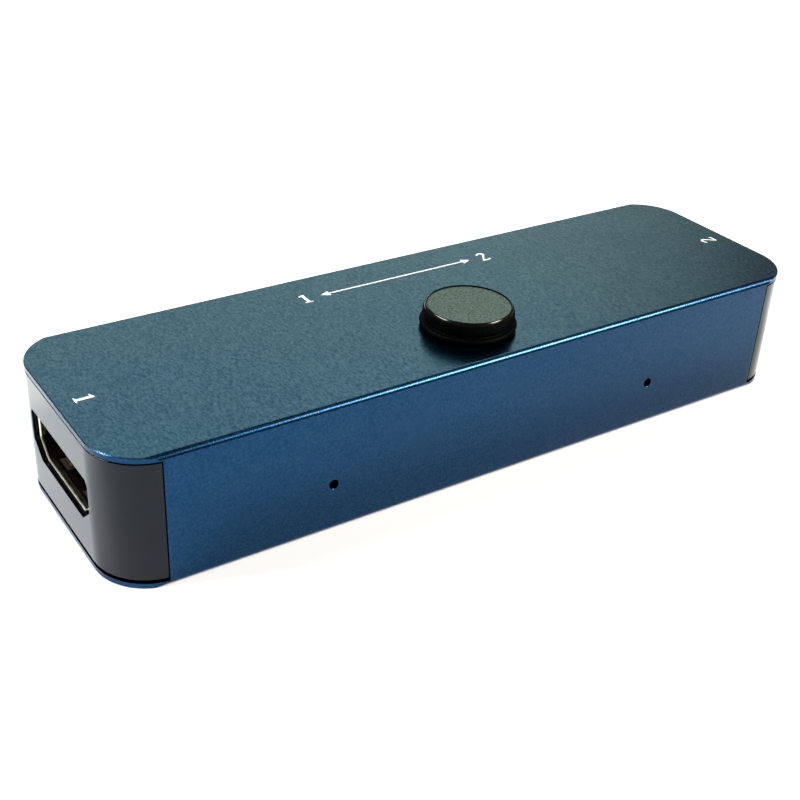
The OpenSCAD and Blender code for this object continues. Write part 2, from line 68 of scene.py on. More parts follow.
def addNode(tree, kind, inputs={}, **settings):  # a socket in inputs is linked, anything else is set
    node = tree.nodes.new("ShaderNode" + kind)
    for name, value in settings.items():
        setattr(node, name, value)
    for name, value in inputs.items():
        if isinstance(value, bpy.types.NodeSocket):
            tree.links.new(value, node.inputs[name])
        else:
            node.inputs[name].default_value = value
    return node


def newFinish(name):  # an empty material with its tree and the object's own coordinates
    finish = bpy.data.materials.new(name)
    finish.use_nodes = True
    finish.node_tree.nodes.clear()
    return finish, finish.node_tree, addNode(finish.node_tree, "TexCoord").outputs["Object"]


def closeFinish(tree, inputs):
    shader = addNode(tree, "BsdfPrincipled", inputs)
    addNode(tree, "OutputMaterial", {"Surface": shader.outputs[0]})


def perMm(size):  # a noise's scale for features of that size in mm
    return 1 / (size * mm)


# coat: the coat at the grain's two ends as (on the sides, on the top); the sides' values are smaller,
# painted shade by facing
sleeveFinish = dict(deep="#002d4e", pale="#003454", grain=0.21, across=0.5, blotch=7.0, bumpDepth=0.02,
                    roughness=0.26, coat=((0.07, 0.0), (0.25, 0.56)), coatRoughness=0.2)
edgeFinish = dict(deep="#24486a", pale="#4d7391", roughness=0.25, coatRoughness=0.2)


# dyed aluminium, bead-blasted and sealed: deep blue metal under a clear oxide, with a satin grain that is
# drawn coarser than the real one so that it still shows; coat gives the coat at the grain's thin and thick
# ends, each on the sides and on the top, and is kept smaller on the sides so that they come out darker and
# less grainy: painted shade by the way a face points, not a thinner oxide
def blueAnodisedBeadBlastedAluminium(name, deep, pale, roughness, coatRoughness):
    finish, tree, place = newFinish(name)
    brushed = addNode(tree, "Mapping", {"Vector": place, "Scale": (1.0, sleeveFinish["across"], 1.0)})
    grain = addNode(tree, "TexNoise", {"Vector": brushed.outputs[0], "Scale": perMm(sleeveFinish["grain"]),
                                       "Detail": 2.0, "Roughness": 0.6})
    blotch = addNode(tree, "TexNoise", {"Vector": place, "Scale": perMm(sleeveFinish["blotch"]),
                                        "Detail": 3.0})
    spread = addNode(tree, "MapRange", {"Value": grain.outputs[0], "From Min": 0.3, "From Max": 0.7})
    dye = addNode(tree, "Mix", {0: spread.outputs[0], 6: linear(deep), 7: linear(pale)}, data_type="RGBA")
    facing = addNode(tree, "SeparateXYZ", {0: addNode(tree, "TexCoord").outputs["Normal"]})
    # lying is 1 on the top and the underside, 0 on the sides
    lying = addNode(tree, "Math", {0: facing.outputs["Z"]}, operation="ABSOLUTE").outputs[0]
    # both ends are smaller on the sides than on the top and underside: painted shade by facing
    thin, thick = [addNode(tree, "MapRange", {"Value": lying, "To Min": side, "To Max": top}).outputs[0]
                   for side, top in sleeveFinish["coat"]]
    coatGrainAndFacingShade = addNode(tree, "MapRange", {"Value": grain.outputs[0], "From Min": 0.3, "From Max": 0.7,
                                       "To Min": thin, "To Max": thick})
    satin = addNode(tree, "MapRange", {"Value": blotch.outputs[0], "From Min": 0.3, "From Max": 0.7,
                                       "To Min": roughness - 0.03, "To Max": roughness + 0.03})
    dents = addNode(tree, "Bump", {"Height": grain.outputs[0], "Strength": 0.35,
                                   "Distance": sleeveFinish["bumpDepth"] * mm})
    closeFinish(tree, {"Base Color": dye.outputs[2], "Metallic": 1.0, "Roughness": satin.outputs[0],
                       "Normal": dents.outputs[0], "Coat Weight": coatGrainAndFacingShade.outputs[0], "Coat IOR": 1.6,
                       "Coat Roughness": coatRoughness, "Coat Normal": dents.outputs[0]})
    return finish


capFinish = dict(black="#020305", dust="#04070b", ripple=2.5, haze=0.6, roughness=(0.1, 0.15),
                 sheen="#c4daff", ior=1.22, coat=0.9, coatRoughness=0.06)


# moulded gloss black ABS: a dark mirror with a faint long ripple and hazy smears
def glossBlackMouldedAbs():
    finish, tree, place = newFinish("gloss_black_moulded_abs")
    ripple = addNode(tree, "TexNoise", {"Vector": place, "Scale": perMm(capFinish["ripple"]), "Detail": 1.0})
    haze = addNode(tree, "TexNoise", {"Vector": place, "Scale": perMm(capFinish["haze"]), "Detail": 4.0})
    tone = addNode(tree, "Mix", {0: haze.outputs[0], 6: linear(capFinish["black"]),
                                 7: linear(capFinish["dust"])}, data_type="RGBA")
    gloss = addNode(tree, "MapRange", {"Value": haze.outputs[0], "From Min": 0.3, "From Max": 0.7,
                                       "To Min": capFinish["roughness"][0],
                                       "To Max": capFinish["roughness"][1]})
    wave = addNode(tree, "Bump", {"Height": ripple.outputs[0], "Strength": 0.05, "Distance": 0.02 * mm})
    closeFinish(tree, {"Base Color": tone.outputs[2], "Roughness": gloss.outputs[0], "IOR": capFinish["ior"],
                       "Specular Tint": linear(capFinish["sheen"]), "Normal": wave.outputs[0],
                       "Coat Weight": capFinish["coat"], "Coat IOR": capFinish["ior"],
                       "Coat Roughness": capFinish["coatRoughness"]})
    return finish


buttonFinish = dict(black="#010101", bloom="#050606", grain=0.24)
buttonLooks = {  # on the disc, on the rim and below
    "black_abs_spark_eroded": dict(roughness=0.32, relief=0.6, sheen=0.76, spread=0.41),
    "black_abs_polished": dict(roughness=0.16, relief=0.03, sheen=0.36, spread=0.03),
    # below the rim and on the dish's edge the sheen is all but taken away so that these parts come out
    # black: painted shade, not a different moulded finish
    "black_abs_dulled_painted_shade": dict(roughness=0.5, relief=0.05, sheen=0.02, spread=0.01),
}


# moulded black ABS, whose fine grain breaks up the sheen by the spread
def blackMouldedAbs(name, roughness, relief, sheen, spread):
    finish, tree, place = newFinish(name)
    grain = addNode(tree, "TexNoise", {"Vector": place, "Scale": perMm(buttonFinish["grain"]),
                                       "Detail": 3.0})
    tone = addNode(tree, "Mix", {0: grain.outputs[0], 6: linear(buttonFinish["black"]),
                                 7: linear(buttonFinish["bloom"])}, data_type="RGBA")
    shine = addNode(tree, "MapRange", {"Value": grain.outputs[0], "From Min": 0.38, "From Max": 0.62,
                                       "To Min": sheen - spread, "To Max": sheen + spread})
    pits = addNode(tree, "Bump", {"Height": grain.outputs[0], "Strength": relief, "Distance": 0.01 * mm})
    closeFinish(tree, {"Base Color": tone.outputs[2], "Roughness": roughness, "IOR": 1.5,
                       "Specular IOR Level": shine.outputs[0], "Normal": pits.outputs[0]})
    return finish


# finishes of the pieces inside: name, two shades, size of the noise between them, metal or not, roughness
insideFinishes = {
    # the shell, its springs and its rolled mouth are one tin plate drawn in three shades: dark on the shell
    # for painted shade inside the socket, a little paler on the springs for painted light on their tips, and
    # near-white on the mouth for painted light where it catches the lamps
    "plated_shell": ("tin_plate_shell_painted_shade", "#3c3020", "#57462e", 1.5, 1.0, 0.24),
    "shell_mouth": ("tin_plate_mouth_painted_light", "#bdb59a", "#f6f2e2", 0.8, 1.0, 0.2),
    "shell_spring": ("tin_plate_spring_painted_lighter", "#6b5a3c", "#a89468", 0.8, 1.0, 0.22),
    "shell_slots": ("sheared_slot_shadow", "#020202", "#080706", 0.5, 0.0, 0.6),
    "socket_plastic": ("black_moulded_polymer", "#08080a", "#131417", 0.2, 0.0, 0.45),
    "gold_contacts": ("gold_flashed_contact", "#b98a2c", "#e8c468", 0.4, 1.0, 0.22),
    "board_laminate": ("green_mask_laminate", "#0b3a22", "#14532f", 0.7, 0.0, 0.38),
    "switch_plastic": ("grey_moulded_nylon", "#1b1c1e", "#2a2b2e", 0.2, 0.0, 0.5),
    "tinned_metal": ("tinned_brass", "#a9abaa", "#d9d9d4", 0.3, 1.0, 0.34),
    "spring_steel": ("rolled_spring_steel", "#9a9c9e", "#cfd0d1", 0.3, 1.0, 0.25),
    "lamp_resin": ("smoked_cast_resin", "#101311", "#1d221e", 0.3, 0.0, 0.2),
    "chip_epoxy": ("filled_epoxy", "#161719", "#26282b", 0.1, 0.0, 0.55),
    "capacitor_ceramic": ("fired_ceramic", "#8a6d4c", "#b08e66", 0.2, 0.0, 0.5),
}


def insideFinish(name, dark, light, grain, metal, rough):
    finish, tree, place = newFinish(name)
    cloud = addNode(tree, "TexNoise", {"Vector": place, "Scale": perMm(grain), "Detail": 3.0})
    tone = addNode(tree, "Mix", {0: cloud.outputs[0], 6: linear(dark), 7: linear(light)}, data_type="RGBA")
    dull = addNode(tree, "MapRange", {"Value": cloud.outputs[0], "To Min": rough - 0.08,
                                      "To Max": rough + 0.08})
    relief = addNode(tree, "Bump", {"Height": cloud.outputs[0], "Strength": 0.1, "Distance": 0.01 * mm})
    closeFinish(tree, {"Base Color": tone.outputs[2], "Metallic": metal, "Roughness": dull.outputs[0],
                       "Normal": relief.outputs[0]})
    return finish


inkFinish = dict(thin="#d9dbd8", full="#fbfbf8", grain=0.15)


# pad-printed white ink: opaque, a little thin in places
def padPrintedInk():
    finish, tree, place = newFinish("white_pad_printed_ink")
    cover = addNode(tree, "TexNoise", {"Vector": place, "Scale": perMm(inkFinish["grain"]), "Detail": 2.0})
    tone = addNode(tree, "Mix", {0: cover.outputs[0], 6: linear(inkFinish["thin"]),
                                 7: linear(inkFinish["full"])}, data_type="RGBA")
    closeFinish(tree, {"Base Color": tone.outputs[2], "Roughness": 0.5, "IOR": 1.5})
    return finish


sleeveBlue = blueAnodisedBeadBlastedAluminium("blue_anodised_bead_blasted_aluminium", sleeveFinish["deep"],
                                              sleeveFinish["pale"], sleeveFinish["roughness"],
                                              sleeveFinish["coatRoughness"])
cutEdge = blueAnodisedBeadBlastedAluminium("blue_anodised_cut_edge", **edgeFinish)
capBlack = glossBlackMouldedAbs()
buttonBlacks = [blackMouldedAbs(name, **look) for name, look in buttonLooks.items()]
whiteInk = padPrintedInk()
inside = {slot: insideFinish(*look) for slot, look in insideFinishes.items()}
for part in frame["record"]["subparts"]:
    if part["material_slot"] in inside:
        holder = frame["nodes"][part["node"]].material_slots[0]
        holder.link = "OBJECT"
        holder.material = inside[part["material_slot"]]
print("finishes made:", len(bpy.data.materials))


# outlines and meshes, in millimetres

def sideNormals(outline):  # outward normals before and after each corner of an anticlockwise outline
    along = np.roll(outline, -1, 0) - outline
    along /= np.linalg.norm(along, axis=1, keepdims=True)
    after = np.stack([along[:, 1], -along[:, 0]], 1)
    return np.roll(after, 1, 0), after


def roundCorners(outline, radius, steps=16):
    # each corner of an anticlockwise outline becomes an arc that touches both of its sides: the arc's middle
    # is the corner moved back by radius * (n1 + n2) / (1 + n1.n2), with the sides' outward normals n1 and n2
    outline = np.asarray(outline, float)
    radius = np.broadcast_to(np.asarray(radius, float), len(outline))[:, None]
    before, after = sideNormals(outline)
    dot = (before * after).sum(1)[:, None]
    cross = (before[:, 0] * after[:, 1] - before[:, 1] * after[:, 0])[:, None]
    middle = outline - radius * (before + after) / (1 + dot)
    first = np.arctan2(before[:, 1], before[:, 0])[:, None]
    angle = first + np.arctan2(cross, dot) * np.linspace(0, 1, steps)
    points = middle[:, None] + radius[:, :, None] * np.stack([np.cos(angle), np.sin(angle)], 2)
    points = points.reshape(-1, 2)
    return points[np.linalg.norm(points - np.roll(points, 1, 0), axis=1) > 1e-6]


def rectangle(low, high):
    return np.array([low, (high[0], low[1]), high, (low[0], high[1])], float)


def newPiece(name, points, faces, *finishes):
    mesh = bpy.data.meshes.new(name)
    mesh.from_pydata((np.asarray(points) * mm).tolist(), [], faces)
    for finish in finishes:
        mesh.materials.append(finish)
    mesh.update()
    piece = bpy.data.objects.new(name, mesh)
    bpy.context.scene.collection.objects.link(piece)
    return piece


def carried(name, outline, axis, stations, *finishes, ring=False):
    # an outline carried along an axis through stations of (place, growth): point = (place, outline + growth
    # * (n1 + n2) / (1 + n1.n2)), turned so that the outline lies on the next two axes in the order X, Y, Z,
    # X; a ring's last station is joined to its first
    first, second = np.asarray(outline, float).T
    if (first * np.roll(second, -1) - second * np.roll(first, -1)).sum() < 0:
        outline = outline[::-1]
    place, growth = np.asarray(stations, float).T
    before, after = sideNormals(outline)
    outward = (before + after) / (1 + (before * after).sum(1)[:, None])
    rows, count = len(place), len(outline)
    flat = (outline + growth[:, None, None] * outward).reshape(-1, 2)
    points = np.column_stack([np.repeat(place, count), flat])
    row, i = np.meshgrid(np.arange(rows - (not ring)), np.arange(count), indexing="ij")
    j, ahead = (i + 1) % count, (row + 1) % rows
    faces = np.stack([row * count + i, row * count + j, ahead * count + j, ahead * count + i], 2)
    faces = faces.reshape(-1, 4).tolist()
    if not ring:
        faces += [np.arange(count)[::-1].tolist(), (np.arange(count) + (rows - 1) * count).tolist()]
    return newPiece(name, np.roll(points, "XYZ".index(axis), 1), faces, *finishes)


def softEnds(start, end, radius, steps=5):  # stations whose growth follows a quarter circle at both ends
    angle = np.linspace(0, np.pi / 2, steps)
    place, growth = radius * (1 - np.cos(angle)), radius * (np.sin(angle) - 1)
    return np.vstack([np.stack([start + place, growth], 1), np.stack([end - place, growth], 1)[::-1]])


def flared(face, inward, depth, flare):  # stations of a cutter that opens a face with a small chamfer
    return [(face - inward * 4 * flare, 5 * flare), (face + inward * flare, 0), (face + inward * depth, 0)]


def carve(piece, *steps):  # each step is an operation and the solid it is done with, which is used up
    for operation, solid in steps:
        step = piece.modifiers.new(operation.lower(), "BOOLEAN")
        step.operation = operation
        step.object = solid
        step.solver = "EXACT"
    settled = piece.evaluated_get(bpy.context.evaluated_depsgraph_get())
    mesh = bpy.data.meshes.new_from_object(settled)
    piece.modifiers.clear()
    piece.data = mesh
    mesh.name = piece.name
    for solid in {solid for operation, solid in steps}:
        bpy.data.objects.remove(solid)
    return piece


def keepFlats(piece, angle=30):  # smooth curves, crisp edges, and flat faces that shade flat
    piece.data.shade_smooth()
    piece.data.set_sharp_from_angle(angle=np.radians(angle))
    flats = piece.modifiers.new("flat_faces", "WEIGHTED_NORMAL")
    flats.keep_sharp = True
    return piece


def settle(piece, body, slot, *replaced):
    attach(piece, body)
    if replaced:
        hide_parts(*replaced)
    return piece


# sleeve

caseLow, caseHigh = corners("case_sleeve")
caseTop = caseHigh[2]
over = 2.0  # how far a cutting solid passes the face that it opens
sleeve = dict(wall=0.6, corner=6.0, fillet=0.7, innerFillet=0.1, capDepth=5.4, ledge=(1.5, 0.8), edge=0.09)
port = dict(middle=7.7, width=14.0, height=4.55, slant=(2.0, 1.75), shell=0.3, sideRoom=0.4, heightRoom=0.06,
            corner=0.6, lowerCorner=0.15, bend=0.5, recess=0.6, flare=0.08)
lamp = dict(spacing=43.0, middle=5.7, hole=1.1, flare=0.02)
buttonLow, buttonHigh = corners("button_cap")
hub = dict(hole=6.4, y=(buttonLow[1] + buttonHigh[1]) / 2)


def circle(diameter, steps=96):
    angle = np.linspace(0, 2 * np.pi, steps, endpoint=False)
    return diameter / 2 * np.stack([np.cos(angle), np.sin(angle)], 1)


def portOutline(across, up, upper, lower):
    # a socket's outline grown across and up: a rectangle with slanted lower corners, anticlockwise
    half, top = port["width"] / 2 + across, port["height"] / 2 + up
    slantW, slantH = port["slant"]
    outline = [(slantW - half, -top), (half - slantW, -top), (half, slantH - top), (half, top), (-half, top),
               (-half, slantH - top)]
    return roundCorners(outline, [lower, lower, lower, upper, upper, lower])


def openingOutline():  # the hole that a wall has round a socket's shell
    return portOutline(port["shell"] + port["sideRoom"], port["shell"] + port["heightRoom"],
                       port["corner"], port["lowerCorner"])


def sleeveSpace():  # the inside of the extrusion, narrowed by the two ledges under the board
    half = caseHigh[1] - sleeve["wall"]
    boardUnder = corners("circuit_board")[0][2]
    shelf = half - sleeve["ledge"][0]
    low, high = sleeve["wall"], caseTop - sleeve["wall"]
    under = boardUnder - sleeve["ledge"][1]
    outline = [(-half, low), (half, low), (half, under), (shelf, under), (shelf, boardUnder),
               (half, boardUnder), (half, high), (-half, high), (-half, boardUnder), (-shelf, boardUnder),
               (-shelf, under), (-half, under)]
    rounds = np.zeros(len(outline))
    rounds[[0, 1, 6, 7]] = sleeve["innerFillet"]
    return roundCorners(outline, rounds)


def buildSleeve():
    profile = roundCorners(rectangle((caseLow[1], caseLow[2]), (caseHigh[1], caseTop)), sleeve["fillet"], 25)
    plan = roundCorners(rectangle(caseLow[:2], caseHigh[:2]), sleeve["corner"], 49)
    edge = sleeve["edge"]
    through = [(caseLow[0] - over, 0), (caseHigh[0] + over, 0)]
    piece = carried("anodised_sleeve", profile, "X", through, sleeveBlue, cutEdge)
    milled = [(-edge, -2 * edge), (edge, 0), (caseTop - edge, 0), (caseTop + edge, -2 * edge)]
    steps = [("INTERSECT", carried("plan", plan, "Z", milled)),
             ("DIFFERENCE", carried("space", sleeveSpace(), "X", through))]
    low, high = sleeve["wall"], caseTop - sleeve["wall"]
    pocket = rectangle((caseLow[1] - over, low), (caseHigh[1] + over, high))
    for end in (caseLow[0], caseHigh[0]):
        reach = [(end - sleeve["capDepth"], 0), (end + sleeve["capDepth"], 0)]
        steps.append(("DIFFERENCE", carried("pocket", pocket, "X", reach)))
    opening = openingOutline()[:, ::-1] + (port["middle"], 0)
    rear = flared(caseHigh[1], -1, over, port["flare"])
    steps.append(("DIFFERENCE", carried("socket_opening", opening, "Y", rear[::-1])))
    hubHole = circle(hub["hole"]) + (0, hub["y"])
    upper = [(caseTop - over, 0), (caseTop + over, 0)]
    steps.append(("DIFFERENCE", carried("hub_hole", hubHole, "Z", upper)))
    front = flared(caseLow[1], 1, over, lamp["flare"])
    for side in (-1, 1):
        hole = circle(lamp["hole"], 48) + (lamp["middle"], side * lamp["spacing"] / 2)
        steps.append(("DIFFERENCE", carried("lamp_hole", hole, "Y", front)))
    carve(piece, *steps)
    count = len(piece.data.polygons)
    middle, normal = np.empty(3 * count), np.empty(3 * count)
    piece.data.polygons.foreach_get("center", middle)
    piece.data.polygons.foreach_get("normal", normal)
    height, lean = middle[2::3] / mm, np.abs(normal[2::3])
    cut = (np.minimum(height, caseTop - height) < edge) & (lean > 0.5) & (lean < 0.9)  # the milled chamfers
    piece.data.polygons.foreach_set("material_index", cut.astype(np.int32))
    return settle(keepFlats(piece), "case", "anodised_aluminium", "case_sleeve")


buildSleeve()
print("sleeve built")


# end caps

cap = dict(wall=1.2, seam=0.15, edge=0.1, arm=(4.0, 1.2), armGap=0.08)


def capOutline():
    # the left cap in plan, a U that wraps both corners: point = corner's middle + radius * (cos, sin), the
    # outer arcs from the seam round to the other seam and the inner arcs back
    reach = sleeve["corner"] - sleeve["capDepth"] + cap["seam"]
    middleX = caseLow[0] + sleeve["corner"]
    middleY = caseHigh[1] - sleeve["corner"]
    part = np.linspace(0, 1, 41)
    legs = []
    for radius, way in ((sleeve["corner"], 1), (sleeve["corner"] - cap["wall"], -1)):
        first = np.pi - np.arccos(reach / radius)
        sweep = first + (np.pi - first) * part
        lower = np.stack([middleX + radius * np.cos(sweep), -middleY - radius * np.sin(sweep)], 1)
        upper = (lower * (1, -1))[::-1]
        legs.append(np.vstack([lower, upper])[::way])
    return np.vstack(legs)[::-1]


def buildCap(name, side, node):  # side -1 is the left end, +1 the right one
    low, high = corners(node)
    plan = capOutline() * (-side, -side)
    piece = carried(name, plan, "Z", softEnds(low[2], high[2], cap["edge"]), capBlack)
    opening = openingOutline() + (0, port["middle"])
    face = flared(side * caseHigh[0], -side, over, port["flare"])
    steps = [("DIFFERENCE", carried("opening", opening, "X", face[::-side]))]
    reach, thick = cap["arm"]
    armX = np.sort([side * (caseHigh[0] - sleeve["capDepth"] - reach),
                    side * (caseHigh[0] - sleeve["capDepth"] + cap["seam"] + cap["wall"] / 2)])
    board = corners("circuit_board")[1][2]
    ceiling = caseTop - sleeve["wall"] - sleeve["innerFillet"]
    armZ = [(board + cap["armGap"], 0), (ceiling - cap["armGap"], 0)]
    for y in (-1, 1):
        armY = np.sort([y * (caseHigh[1] - sleeve["wall"] - cap["armGap"]),
                        y * (caseHigh[1] - sleeve["wall"] - cap["armGap"] - thick)])
        arm = carried("arm", rectangle((armX[0], armY[0]), (armX[1], armY[1])), "Z", armZ)
        steps.append(("UNION", arm))
    carve(piece, *steps)
    return settle(keepFlats(piece), "case", "gloss_black_plastic", node)


buildCap("left_moulded_cap", -1, "left_end_cap")
buildCap("right_moulded_cap", 1, "right_end_cap")
print("end caps built")


# stamped shells of the sockets: rolled mouths and spring tabs

lip = dict(steps=13, liner=0.45, skin=0.012, ledge=0.02, lowerCorner=0.1)


def buildLip(name, axis, face, inward):
    # half a circle carried round the middle of the shell's wall, with a skin a little way down the inside:
    # place = mouth - r sin a, growth = r cos a
    radius = port["shell"] / 2
    outline = portOutline(radius, radius, port["bend"] + radius, lip["lowerCorner"]) + (0, port["middle"])
    if axis == "Y":
        outline = outline[:, ::-1]
    angle = np.linspace(0, np.pi, lip["steps"])[::-1]
    mouth = port["recess"]
    depth = mouth - radius * np.sin(angle)
    outer, inner = lip["skin"] - radius, -lip["skin"] - radius
    liner = [(mouth + lip["ledge"], radius), (mouth + lip["ledge"], outer), (mouth + lip["liner"], outer),
             (mouth + lip["liner"], inner), (mouth, inner)]
    stations = np.vstack([np.stack([depth, radius * np.cos(angle)], 1)[1:], liner])
    stations[:, 0] = face + inward * stations[:, 0]
    # the lip and its skin take the mouth's near-white finish: painted light on the rolled mouth
    piece = carried(name, outline, axis, stations[::int(inward)], inside["shell_mouth"], ring=True)
    return settle(keepFlats(piece, 40), "case", "plated_shell")


spring = dict(places=(-3.3, 3.3), width=1.7, start=1.1, length=4.2, rise=0.34, thick=0.1, slot=0.3,
              film=(0.004, 0.03))


def together(name, solids):  # one piece out of solids that stay apart
    solids[0].name = name
    return carve(solids[0], *[("UNION", solid) for solid in solids[1:]])


def stroke(path, width):
    # a band of varying width along a path: both edges = path +- width / 2 * the path's normal
    path = np.asarray(path, float)
    along = np.gradient(path, axis=0)
    along /= np.linalg.norm(along, axis=1, keepdims=True)
    side = np.stack([-along[:, 1], along[:, 0]], 1) * np.asarray(width, float).reshape(-1, 1) / 2
    return np.vstack([path - side, (path + side)[::-1]])


def buildSprings(name, axis, face, inward):
    # a tab's side view carried across its width: middle's height over the wall = half a thickness + rise *
    # sin(pi t ** 0.7) ** 2, at t from its tip to its root; the slot round a tab is a dark film on the wall,
    # painted shade where the real cut would show the dark behind it
    t = np.linspace(0, 1, 33)
    depth = face + inward * (port["recess"] + spring["start"] + spring["length"] * t)
    height = spring["thick"] / 2 + spring["rise"] * np.sin(np.pi * t ** 0.7) ** 2
    tabs, slots = [], []
    for way in (-1, 1):
        wall = port["middle"] + way * port["height"] / 2
        path = np.stack([wall - way * height, depth], 1)
        film = np.sort(wall - way * np.array(spring["film"]))
        for across in spring["places"]:
            sides = [(across - spring["width"] / 2, 0), (across + spring["width"] / 2, 0)]
            band = stroke(path, np.full(len(t), spring["thick"]))
            room = spring["width"] / 2 + spring["slot"]
            ends = np.sort([depth[0] - inward * spring["slot"], depth[-1]])
            if axis == "X":
                tabs.append(carried("tab", band, "Y", sides, inside["shell_spring"]))
                plan = rectangle((ends[0], across - room), (ends[1], across + room))
            else:
                tabs.append(carried("tab", band[:, ::-1], "X", sides, inside["shell_spring"]))
                plan = rectangle((across - room, ends[0]), (across + room, ends[1]))
            slots.append(carried("slot", plan, "Z", [(film[0], 0), (film[1], 0)], inside["shell_slots"]))
    settle(keepFlats(together(name + "_springs", tabs)), "case", "plated_shell")
    settle(together(name + "_slots", slots), "case", "plated_shell")


for name, axis, face, inward in (("left", "X", caseLow[0], 1), ("right", "X", caseHigh[0], -1),
                                 ("rear", "Y", caseHigh[1], -1)):
    buildLip(name + "_shell_lip", axis, face, inward)
    buildSprings(name + "_shell", axis, face, inward)
print("shells finished")


# button

knob = dict(disc=4.618, recess=0.12, bevel=0.02, rim=0.05, shoulder=1.3, widest=5.1, shoulderZ=1.8,
            waist=4.85, neck=0.1, flange=5.4, flangeZ=(0.3, 0.9), hub=2.8, hubLength=3.0, bore=1.75,
            boreTop=1.3, polish=(7, 5))


def arc(middle, radius, first, last, steps):  # degrees, in the plane of radius and height
    angle = np.radians(np.linspace(first, last, steps))
    return np.stack([middle[0] + radius * np.cos(angle), middle[1] + radius * np.sin(angle)], 1)


def turned(name, profile, base, steps, *finishes):
    # a profile of radius and height over a base, turned about the button's axis and closed by a flat face
    # at both ends: point = (radius cos a, radius sin a, height)
    angle = np.linspace(0, 2 * np.pi, steps, endpoint=False)
    points = np.stack([profile[:, :1] * np.cos(angle), profile[:, :1] * np.sin(angle) + hub["y"],
                       np.broadcast_to(profile[:, 1:] + base, (len(profile), steps))], 2).reshape(-1, 3)
    ring, step = np.meshgrid(np.arange(len(profile) - 1), np.arange(steps), indexing="ij")
    ahead = (step + 1) % steps
    sides = np.stack([(ring + 1) * steps + step, (ring + 1) * steps + ahead, ring * steps + ahead,
                      ring * steps + step], 2).reshape(-1, 4).tolist()
    first = np.arange(steps).tolist()
    last = (np.arange(steps)[::-1] + (len(profile) - 1) * steps).tolist()
    return newPiece(name, points, [first, *sides, last], *finishes)


def buildButton():
    top = buttonHigh[2] - caseTop
    low, high = knob["flangeZ"]
    bead, crest = (high - low) / 2, knob["rim"]
    wall, floor = knob["disc"] + knob["bevel"], top - knob["recess"]
    dish = [(knob["disc"], floor), (wall, floor + knob["bevel"])]
    rim = arc((wall + crest, top - crest), crest, 180, 45, 12)
    shoulderMid = (knob["widest"] - knob["shoulder"], knob["shoulderZ"])
    reach = rim[-1] - shoulderMid
    shoulder = arc(shoulderMid, knob["shoulder"], np.degrees(np.arctan2(reach[1], reach[0])), -20, 24)
    neck = arc((knob["waist"] + knob["neck"], high + knob["neck"]), knob["neck"], 180, 270, 8)
    flange = arc((knob["flange"] - bead, low + bead), bead, 90, -90, 24)
    first, last = len(dish) + knob["polish"][0], len(dish) + len(rim) + knob["polish"][1]
    profile = np.vstack([dish, rim, shoulder[1:], neck, flange,
                         [(knob["hub"], low), (knob["hub"], low - knob["hubLength"]),
                          (knob["bore"], low - knob["hubLength"]), (knob["bore"], knob["boreTop"])]])
    steps = 160
    piece = turned("push_button", profile, caseTop, steps, *buttonBlacks)
    rows = np.arange(len(profile) - 1)
    gloss = (rows >= first) & (rows < last)  # from the rim's crest to where the shoulder steepens
    # rows outside the gloss band take the dulled finish, whose near-zero sheen paints shade on the dish's
    # edge, the lower shoulder, the neck and the flange
    finish = np.concatenate([[0], np.repeat(np.where(gloss, 1, 2), steps), [2]])
    piece.data.polygons.foreach_set("material_index", finish.astype(np.int32))
    return settle(keepFlats(piece, 25), "button", "button_plastic", "button_cap")


dome = dict(thick=0.1, crown=0.05, room=0.005)


def buildDome():
    # the switch's snap dome, a cap of a thin steel ball, drawn at rest: the real one flattens under the stem
    # as the button goes down, this piece does not; ball's radius = (rim ** 2 + height ** 2) / (2 height)
    low, high = corners("switch_dome")
    rim, height = (high[0] - low[0]) / 2, high[2] - low[2]
    ball = (rim ** 2 + height ** 2) / (2 * height)
    skins = []
    for radius, way in ((ball, 1), (ball - dome["thick"], -1)):
        first, last = np.degrees([np.arccos(dome["crown"] / radius), np.arcsin((ball - height) / radius)])
        skins.append(arc((0, height - ball), radius, first, last, 24)[::way])
    piece = turned("snap_dome", np.vstack(skins), low[2], 64, inside["spring_steel"])
    settle(keepFlats(piece), "case", "spring_steel", "switch_dome")
    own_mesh(piece)


buildButton()
buildDome()
print("button and dome built")


# printed marks on the top plate: plain numbers and a two-way arrow

mark = dict(lift=0.002, film=0.012, rear=(0.0, 8.3), rearSpan=26.0, arrowSpan=21.0, inset=0.5, height=2.0,
            left=(-42.1, -0.7), right=(42.0, -1.1))


def numberOne():  # in a box one high, about the middle: stem with a flag and a foot
    stem = [(-0.09, -0.5), (0.09, -0.5), (0.09, 0.5), (0.02, 0.5), (-0.26, 0.36), (-0.26, 0.29),
            (-0.09, 0.33)]
    return [np.array(stem), rectangle((-0.25, -0.5), (0.25, -0.43))]


def numberTwo():  # a bowl that runs down into a diagonal, over a foot
    t = np.linspace(0, 1, 40)
    angle = np.radians(170 - 205 * t)
    bowl = np.stack([0.21 * np.cos(angle), 0.27 + 0.19 * np.sin(angle)], 1)
    fall = bowl[-1] + (np.array([-0.24, -0.45]) - bowl[-1]) * np.linspace(0, 1, 16)[1:, None]
    path = np.vstack([bowl, fall])
    width = np.interp(np.linspace(0, 1, len(path)), [0, 0.1, 0.5, 0.7, 1], [0.14, 0.1, 0.17, 0.13, 0.07])
    foot = [(-0.28, -0.5), (0.28, -0.5), (0.31, -0.32), (0.27, -0.32), (0.22, -0.4), (-0.28, -0.4)]
    return [stroke(path, width), np.array(foot)]


def twoWayArrow(span):  # a thin shaft with a head at each end
    half, head, wide, thin = span / 2, 0.55, 0.26, 0.05
    right = [(half - head, -thin), (half - head, -wide), (half, 0), (half - head, wide), (half - head, thin)]
    return [np.array(right + [(-x, -y) for x, y in right])]


